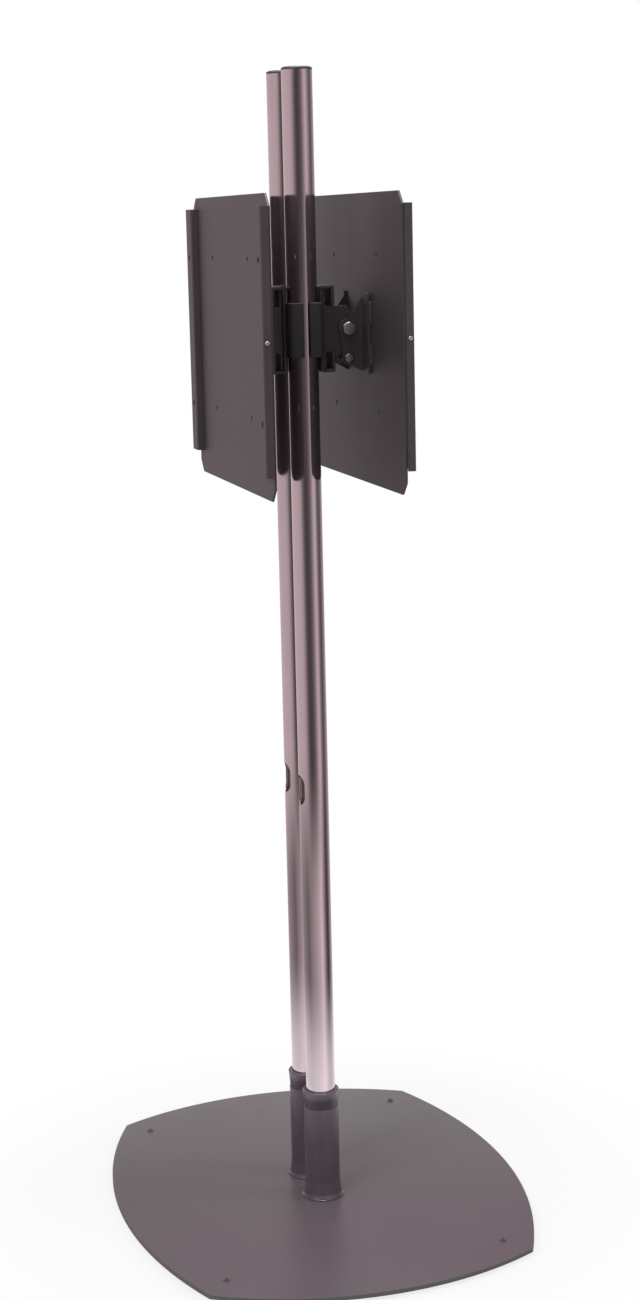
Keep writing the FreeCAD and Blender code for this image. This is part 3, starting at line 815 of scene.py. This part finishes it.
# %% [markdown]
# ## Bolts and nuts
#
# The heads and nuts are cut from hexagonal bar and turned, so the outer end has a ring-shaped chamfer that
# leaves curved corners on the flats. A bevel can't give that, but the overlap of a hexagonal block and a
# turned blank can. The blank is set half a step round, so that none of its edges falls on a corner of the
# block, and a bolt's rod starts inside its head, because a Boolean can go wrong where faces only touch. The
# threads are turned as fine rings, because at this pitch a helix can't be told from them.

# %% Bolts and nuts
HEX_FACE_SHARE = 0.475
HEX_CHAMFER_SLOPE = math.tan(math.radians(30.0))
THREAD_DEPTH_SHARE = 0.55
BLANK_STEPS = 48
ROD_STEPS = 40
ROD_ROOT = 1.0
TOOL_SPARE = 1.0


def hex_bar(flats, length, middle):
    """A length of hexagonal bar whose middle is at a height on the upright axis."""
    corner = flats / math.sqrt(3) * MM
    shape = bmesh.new()
    bmesh.ops.create_cone(
        shape,
        cap_ends=True,
        segments=6,
        radius1=corner,
        radius2=corner,
        depth=length * MM,
        matrix=Matrix.Translation((0.0, 0.0, middle * MM)),
    )
    return shape


def hex_block(flats, height):
    """A hexagonal block that stands on z = 0, with a turned chamfer at its top."""
    face = flats * HEX_FACE_SHARE
    reach = flats / math.sqrt(3) + TOOL_SPARE
    shoulder = height - (reach - face) * HEX_CHAMFER_SLOPE
    outline = [(0.0, -TOOL_SPARE), (reach, -TOOL_SPARE), (reach, shoulder), (face, height), (0.0, height)]
    blank = spun(outline, BLANK_STEPS, closed=False)
    place(blank, Matrix.Rotation(math.pi / BLANK_STEPS, 4, "Z"))
    return carved(hex_bar(flats, height, height / 2), blank, "INTERSECT")


def threaded_rod(radius, length, thread, pitch):
    """A rod that rises from a root just under z = 0, with a thread along its far end."""
    outline = [(0.0, -ROD_ROOT), (radius, -ROD_ROOT), (radius, length - thread)]
    height = length - thread
    while height + pitch < length:
        outline.append((radius - pitch * THREAD_DEPTH_SHARE, height + pitch / 2))
        outline.append((radius, height + pitch))
        height += pitch
    outline.append((radius - pitch / 2, length))
    outline.append((0.0, length))
    return spun(outline, ROD_STEPS, closed=False)


def hex_bolt(flats, head, radius, length, thread, pitch):
    """A bolt along +Z whose head sits under z = 0."""
    cap = hex_block(flats, head)
    place(cap, Matrix.Rotation(math.pi, 4, "X"))
    return carved(cap, threaded_rod(radius, length, thread, pitch), "UNION")


def hex_nut(flats, height, radius):
    """A nut that stands on z = 0."""
    top = height + TOOL_SPARE
    outline = [(0.0, -TOOL_SPARE), (radius, -TOOL_SPARE), (radius, top), (0.0, top)]
    return carved(hex_block(flats, height), spun(outline, ROD_STEPS, closed=False))


def aimed(shape, seat, direction):
    """Turns a shape from +Z to a direction and sets it on a seat in millimetres."""
    turn = Vector(direction).to_track_quat("Z", "Y").to_matrix().to_4x4()
    place(shape, Matrix.Translation(Vector(seat) * MM) @ turn)
    return shape


# %% [markdown]
# ## Tilt shafts and clamp bolts
#
# A long bolt through both cheeks of each yoke is the shaft that a head tilts on. Two more run between the
# poles from front to rear and draw the jaws together. All four share one size of head and nut.

# %% Tilt shafts and clamp bolts
LARGE_HEAD = {"flats": 16.0, "head": 6.4, "radius": 5.0, "pitch": 1.5}
LARGE_NUT = {"flats": 16.0, "height": 8.0, "radius": 5.05}
SHAFT_LENGTH = 99.7
SHAFT_THREAD = 12.0
CLAMP_LENGTH = 72.5
CLAMP_THREAD = 14.0
MOUNT_HEIGHT = 1208.0
PIVOT_OUT = 60.0
SHAFT_SEAT = 44.6
CLAMP_SEAT = 31.0
CLAMP_RISE = 18.0
REARWARDS = (0, 1, 0)
ENDS = (("front", -1), ("rear", 1))

shaft_nuts = []
for end, out in ENDS:
    across = (-out, 0, 0)
    shaft = hex_bolt(length=SHAFT_LENGTH, thread=SHAFT_THREAD, **LARGE_HEAD)
    aimed(shaft, (out * SHAFT_SEAT, out * PIVOT_OUT, MOUNT_HEIGHT), across)
    add_piece(f"tilt_shaft_bolt_{end}", shaft, "mount", "zinc_steel", f"tilt_shaft_{end}")
    nut_seat = (-out * SHAFT_SEAT, out * PIVOT_OUT, MOUNT_HEIGHT)
    shaft_nuts.append(aimed(hex_nut(**LARGE_NUT), nut_seat, across))
add_piece("tilt_shaft_nut_pair", joined(shaft_nuts), "mount", "zinc_steel", "tilt_shaft_nuts")

clamp_bolts = []
clamp_nuts = []
for rise in (-CLAMP_RISE, CLAMP_RISE):
    height = MOUNT_HEIGHT + rise
    clamp_bolt = hex_bolt(length=CLAMP_LENGTH, thread=CLAMP_THREAD, **LARGE_HEAD)
    clamp_bolts.append(aimed(clamp_bolt, (0, -CLAMP_SEAT, height), REARWARDS))
    clamp_nuts.append(aimed(hex_nut(**LARGE_NUT), (0, CLAMP_SEAT, height), REARWARDS))
add_piece("clamp_bolt_pair", joined(clamp_bolts), "mount", "zinc_steel", "clamp_bolts")
add_piece("clamp_nut_pair", joined(clamp_nuts), "mount", "zinc_steel", "clamp_nuts")

# %% [markdown]
# ## Lock bolts
#
# A small bolt in each ear runs in an arc slot of the yoke's cheek, and its nut on the inside locks the tilt.
# The bolts ride with the head, so each end has its own pair.

# %% Lock bolts
LOCK_BOLT = {"flats": 10.0, "head": 4.0, "radius": 3.0, "length": 15.1, "thread": 6.0, "pitch": 1.0}
LOCK_NUT = {"flats": 10.0, "height": 5.0, "radius": 3.05}
LOCK_HEIGHT = 1170.0
LOCK_SEAT = 44.4
LOCK_NUT_SEAT = 35.8

for end, out in ENDS:
    lock_bolts = []
    lock_nuts = []
    for side in (-1, 1):
        inward = (-side, 0, 0)
        bolt_seat = (side * LOCK_SEAT, out * PIVOT_OUT, LOCK_HEIGHT)
        nut_seat = (side * LOCK_NUT_SEAT, out * PIVOT_OUT, LOCK_HEIGHT)
        lock_bolts.append(aimed(hex_bolt(**LOCK_BOLT), bolt_seat, inward))
        lock_nuts.append(aimed(hex_nut(**LOCK_NUT), nut_seat, inward))
    head = f"{end}_head"
    add_piece(f"{end}_lock_bolt_pair", joined(lock_bolts), head, "zinc_steel", f"{end}_tilt_lock_bolts")
    add_piece(f"{end}_lock_nut_pair", joined(lock_nuts), head, "zinc_steel", f"{end}_tilt_lock_nuts")

# %% [markdown]
# ## Rail screws
#
# One small button-head screw in the side of each upright rail locks it to the plate's flange. Its low dome is
# spun and the six-sided socket is cut into it, so that it reads as a screw and not as a rivet.

# %% Rail screws
SCREW_RADIUS = 3.0
SCREW_HEIGHT = 1.8
SCREW_DOME = ((1.0, 0.25), (0.85, 0.68), (0.60, 1.0))
SCREW_SOCKET = 2.5
SCREW_SOCKET_DEPTH = 1.1
RAIL_SIDE = 215.0
RAIL_MIDDLE_OUT = 91.25
RAIL_MIDDLE_HEIGHT = 1201.0


def button_screw():
    """A button head that stands on z = 0, with a socket in its dome."""
    crown = [(across * SCREW_RADIUS, up * SCREW_HEIGHT) for across, up in SCREW_DOME]
    outline = [(0.0, 0.0), (SCREW_RADIUS, 0.0), *crown, (0.0, SCREW_HEIGHT)]
    socket = hex_bar(SCREW_SOCKET, 2 * SCREW_SOCKET_DEPTH, SCREW_HEIGHT)
    return carved(spun(outline, ROD_STEPS, closed=False), socket)


for end, out in ENDS:
    screws = []
    for side in (-1, 1):
        seat = (side * RAIL_SIDE, out * RAIL_MIDDLE_OUT, RAIL_MIDDLE_HEIGHT)
        screws.append(aimed(button_screw(), seat, (side, 0, 0)))
    add_piece(f"{end}_rail_screws", joined(screws), f"{end}_head", "zinc_steel")

# %% [markdown]
# ## Weld beads
#
# The ears are welded to the back of each display plate by two short runs along the outer edge of their feet.
# A bead is a chain of overlapping drops, so one ring is extruded along the run and swells and narrows at
# every step. Most of it is sunk in the corner between the two sheets.

# %% Weld beads
BEAD_RADIUS = 2.3
BEAD_STEP = 1.6
BEAD_SWELL = 1.16
BEAD_END = 0.45
BEAD_SEGMENTS = 12
BEAD_RUNS = ((1160.0, 1190.0), (1214.0, 1244.0))
EAR_FOOT_EDGE = 70.4
PLATE_BACK_OUT = 83.0


def edges_of(shape, ring):
    return [edge for edge in shape.edges if all(vert in ring for vert in edge.verts)]


def weld_bead(length):
    """A rippled bead that rises from z = 0."""
    shape = bmesh.new()
    start = bmesh.ops.create_circle(
        shape,
        cap_ends=True,
        radius=BEAD_RADIUS * BEAD_END * MM,
        segments=BEAD_SEGMENTS,
    )
    ring = start["verts"]
    steps = int(length / BEAD_STEP)
    size = BEAD_END
    for step in range(1, steps + 1):
        target = BEAD_END if step == steps else (BEAD_SWELL if step % 2 else 1.0)
        grown = bmesh.ops.extrude_edge_only(shape, edges=edges_of(shape, ring))["geom"]
        ring = [item for item in grown if isinstance(item, bmesh.types.BMVert)]
        grow = target / size
        bmesh.ops.scale(shape, vec=(grow, grow, 1.0), verts=ring)
        bmesh.ops.translate(shape, verts=ring, vec=(0.0, 0.0, BEAD_STEP * MM))
        size = target
    bmesh.ops.contextual_create(shape, geom=edges_of(shape, ring))
    bmesh.ops.recalc_face_normals(shape, faces=shape.faces[:])
    return shape


for end, out in ENDS:
    beads = []
    for side in (-1, 1):
        for bottom, top in BEAD_RUNS:
            bead = weld_bead(top - bottom)
            corner = Vector((side * EAR_FOOT_EDGE, out * PLATE_BACK_OUT, bottom)) * MM
            place(bead, Matrix.Translation(corner))
            beads.append(bead)
    add_piece(f"{end}_weld_beads", joined(beads), f"{end}_head", "black_powder")

# %% [markdown]
# ## Softened edges
#
# Powder coat is thinner over a corner but never leaves it sharp, and a cast edge is rounder still. The solids
# of the mount and the heads keep their shape and get four modifiers each: the loose triangles are welded,
# flat areas are merged, sharp edges are rounded, and the normals are weighted by area so that flat faces stay
# flat. The bevel's limit on overlaps is off, because one short edge would narrow every other rounding.

# %% Softened edges
SOFT_EDGES = {
    "clamp_jaw": 1.2,
    "pole_bracket": 0.6,
    "tilt_yoke": 0.6,
    "tilt_ear": 0.6,
    "display_plate": 0.5,
    "display_rail": 0.5,
}
CORNER_MERGE = 0.002
FLAT_ANGLE = math.radians(0.6)
SOFT_ANGLE = math.radians(40.0)
SOFT_SEGMENTS = 2


def soften(node, width):
    weld = node.modifiers.new("merge_corners", "WELD")
    weld.merge_threshold = CORNER_MERGE * MM
    flat = node.modifiers.new("merge_flats", "DECIMATE")
    flat.decimate_type = "DISSOLVE"
    flat.angle_limit = FLAT_ANGLE
    soft = node.modifiers.new("soft_edges", "BEVEL")
    soft.width = width * MM
    soft.segments = SOFT_SEGMENTS
    soft.use_clamp_overlap = False
    soft.limit_method = "ANGLE"
    soft.angle_limit = SOFT_ANGLE
    even = node.modifiers.new("even_normals", "WEIGHTED_NORMAL")
    even.keep_sharp = False


softened = 0
for name, node in nodes.items():
    for kind, width in SOFT_EDGES.items():
        if kind in name:
            soften(node, width)
            softened += 1
print("softened nodes:", softened)

# %% [markdown]
# ## Floor
#
# A pale floor runs out to a white surround. Seen by the camera or in a polished surface it is plain white,
# and it keeps a soft shadow near the base. Mixing the lit surface with a white glow, by the distance from the
# middle, gives both from one plane.

# %% Floor
FLOOR_REACH = 30.0
FLOOR_GREYS = (rgb(0.91, 0.91, 0.91), rgb(0.93, 0.93, 0.93))
WHITE = rgb(1.0, 1.0, 1.0)
SHADOW_FADE = (0.34, 0.62)
NEAR_WHITE = 0.80


def floor_paint():
    finish = Finish("floor_pale", Roughness=0.85)
    finish.set(Base_Color=finish.mix(finish.noise(scale=60.0, detail=3.0), *FLOOR_GREYS))
    distance = finish.node("ShaderNodeVectorMath", {"operation": "LENGTH"}, {0: finish.place}, output="Value")
    far = finish.between(distance, SHADOW_FADE, (NEAR_WHITE, 1.0))
    white = finish.node("ShaderNodeEmission", {}, {"Color": WHITE, "Strength": 1.0})
    surface = Value(finish, finish.surface.outputs["BSDF"])
    return finish.show(finish.node("ShaderNodeMixShader", {}, {0: far * finish.seen(), 1: surface, 2: white}))


floor_shape = bmesh.new()
bmesh.ops.create_grid(floor_shape, x_segments=2, y_segments=2, size=FLOOR_REACH)
floor = object_from("floor", floor_shape)
floor.data.materials.append(floor_paint())
print("floor reach:", FLOOR_REACH, "m")

# %% [markdown]
# ## Surround
#
# The surround is white to the eye and in polished surfaces, but lights the stand more weakly than it looks,
# so that the lamps still model the shapes. The world's nodes are written in the same way as a finish.

# %% Surround
AMBIENT = 0.55


class Surround(Finish):
    """The nodes of a world."""

    def __init__(self, world):
        self.tree = world.node_tree


world = bpy.data.worlds.new("white_surround")
world.use_nodes = True
bpy.context.scene.world = world
surround = Surround(world)
background = world.node_tree.nodes["Background"]
background.inputs["Color"].default_value = WHITE
surround.feed(background.inputs["Strength"], AMBIENT + (1.0 - AMBIENT) * surround.seen())
print("ambient light:", AMBIENT)

# %% [markdown]
# ## Cards
#
# Chrome in a white room looks like nothing at all, so a ring of grey and dark cards stands round the stand,
# as a photographer would place them. The cards are seen only in glossy surfaces, and they give the tubes
# their upright streaks. One ring with a ramp of grey levels round it stands for all the cards: each stop is a
# share of a turn and a level. There is one set of levels for the heads' height and one for the feet, where a
# brighter strip also lights the lowest part.

# %% Cards
CARD_RADIUS = 0.45
CARD_HEIGHT = 2.2
CARD_STEPS = 96
UPPER_LEVELS = (
    (0.00, 0.72),
    (0.13, 0.66),
    (0.33, 0.60),
    (0.37, 0.52),
    (0.395, 0.42),
    (0.425, 0.24),
    (0.455, 0.11),
    (0.49, 0.08),
    (0.525, 0.10),
    (0.56, 0.17),
    (0.593, 0.34),
    (0.628, 0.60),
    (0.658, 0.64),
    (0.70, 0.26),
    (0.747, 0.11),
    (0.795, 0.20),
    (0.856, 0.42),
    (1.00, 0.72),
)
LOWER_LEVELS = (
    (0.00, 0.70),
    (0.14, 0.41),
    (0.29, 0.23),
    (0.34, 0.19),
    (0.40, 0.32),
    (0.50, 0.49),
    (0.57, 0.66),
    (0.60, 0.84),
    (0.63, 0.68),
    (0.67, 0.34),
    (0.71, 0.13),
    (0.75, 0.06),
    (0.80, 0.22),
    (0.86, 0.54),
    (1.00, 0.70),
)
LEVEL_BLEND = (0.298, 0.550)
FOOT_FADE = (0.02, 0.20)
FOOT_GLOW = 0.42
FOOT_LEVEL = 1.60
CARD_BLACK = rgb(0.0, 0.0, 0.0)
CARD_TINT = rgb(1.0, 0.86, 0.88)


def card_paint():
    """Grey levels round the ring; the middle of each ramp faces the camera."""
    finish = Finish("card_grey")
    turn = finish.node(
        "ShaderNodeMapping",
        {"vector_type": "TEXTURE"},
        {"Vector": finish.place, "Rotation": (0.0, 0.0, math.atan2(CAMERA_PLACE.y, CAMERA_PLACE.x))},
    )
    around = finish.node("ShaderNodeTexGradient", {"gradient_type": "RADIAL"}, {"Vector": turn}, output="Fac")
    up = finish.along("Z")
    lower = finish.ramp(around, LOWER_LEVELS)
    upper = finish.ramp(around, UPPER_LEVELS)
    level = finish.mix(finish.between(up, LEVEL_BLEND), lower, upper)
    tinted = finish.mix(level, CARD_BLACK, CARD_TINT)
    foot = finish.mix(FOOT_GLOW, tinted, rgb(FOOT_LEVEL, FOOT_LEVEL, FOOT_LEVEL))
    shown = finish.mix(finish.between(up, FOOT_FADE), foot, tinted)
    return finish.show(finish.node("ShaderNodeEmission", {}, {"Color": shown, "Strength": 1.0}))


def glossy_only(thing):
    """Leaves a stage piece visible in polished surfaces and nowhere else."""
    for ray in ("camera", "diffuse", "transmission", "shadow", "volume_scatter"):
        setattr(thing, f"visible_{ray}", False)


card_shape = bmesh.new()
card_foot = card_shape.verts.new((CARD_RADIUS, 0.0, 0.0))
card_head = card_shape.verts.new((CARD_RADIUS, 0.0, CARD_HEIGHT))
card_shape.edges.new((card_foot, card_head))
spin_round(card_shape, CARD_STEPS)
cards = object_from("card_ring", card_shape)
cards.data.materials.append(card_paint())
glossy_only(cards)
print("card ring:", len(cards.data.polygons), "faces")

# %% [markdown]
# ## Overhead card
#
# A bright card hangs over the open top of the ring. Level surfaces, such as the base, the caps and the
# collars, catch it as a soft sheen, which upright cards can't give them.

# %% Overhead card
TOP_CARD_REACH = 0.90
TOP_CARD_HEIGHT = 2.5
TOP_CARD_LEVEL = 8.0
TOP_CARD_TINT = rgb(1.0, 0.98, 0.98)


def top_card_paint():
    finish = Finish("top_card_white")
    return finish.show(
        finish.node("ShaderNodeEmission", {}, {"Color": TOP_CARD_TINT, "Strength": TOP_CARD_LEVEL})
    )


top_shape = bmesh.new()
lift = Matrix.Translation((0.0, 0.0, TOP_CARD_HEIGHT))
bmesh.ops.create_grid(top_shape, x_segments=1, y_segments=1, size=TOP_CARD_REACH, matrix=lift)
top_card = object_from("top_card", top_shape)
top_card.data.materials.append(top_card_paint())
glossy_only(top_card)
print("overhead card:", 2 * TOP_CARD_REACH, "m wide")

# %% [markdown]
# ## Lamps
#
# Two large soft lamps do the lighting: the key from the front right and a weaker one from the rear right,
# which opens up the shadows on the far side. Each is given by its place, its width and height in metres and
# its power in watts, and both aim at the middle of the poles.

# %% Lamps
LAMPS = (
    ("key_lamp", (2.2, -2.6, 2.9), 2.0, 2.0, 70.0),
    ("side_lamp", (1.2, 3.0, 2.2), 1.4, 2.4, 34.0),
)
LAMP_TARGET = Vector((0.0, 0.0, 0.8))

for name, spot, width, height, power in LAMPS:
    lamp_data = bpy.data.lights.new(name, "AREA")
    lamp_data.shape = "RECTANGLE"
    lamp_data.size = width
    lamp_data.size_y = height
    lamp_data.energy = power
    lamp = bpy.data.objects.new(name, lamp_data)
    bpy.context.collection.objects.link(lamp)
    aim = (LAMP_TARGET - Vector(spot)).to_track_quat("-Z", "Y").to_matrix().to_4x4()
    lamp.matrix_world = Matrix.Translation(spot) @ aim
bpy.context.scene.view_settings.view_transform = "Standard"
print("lamps:", len(LAMPS))
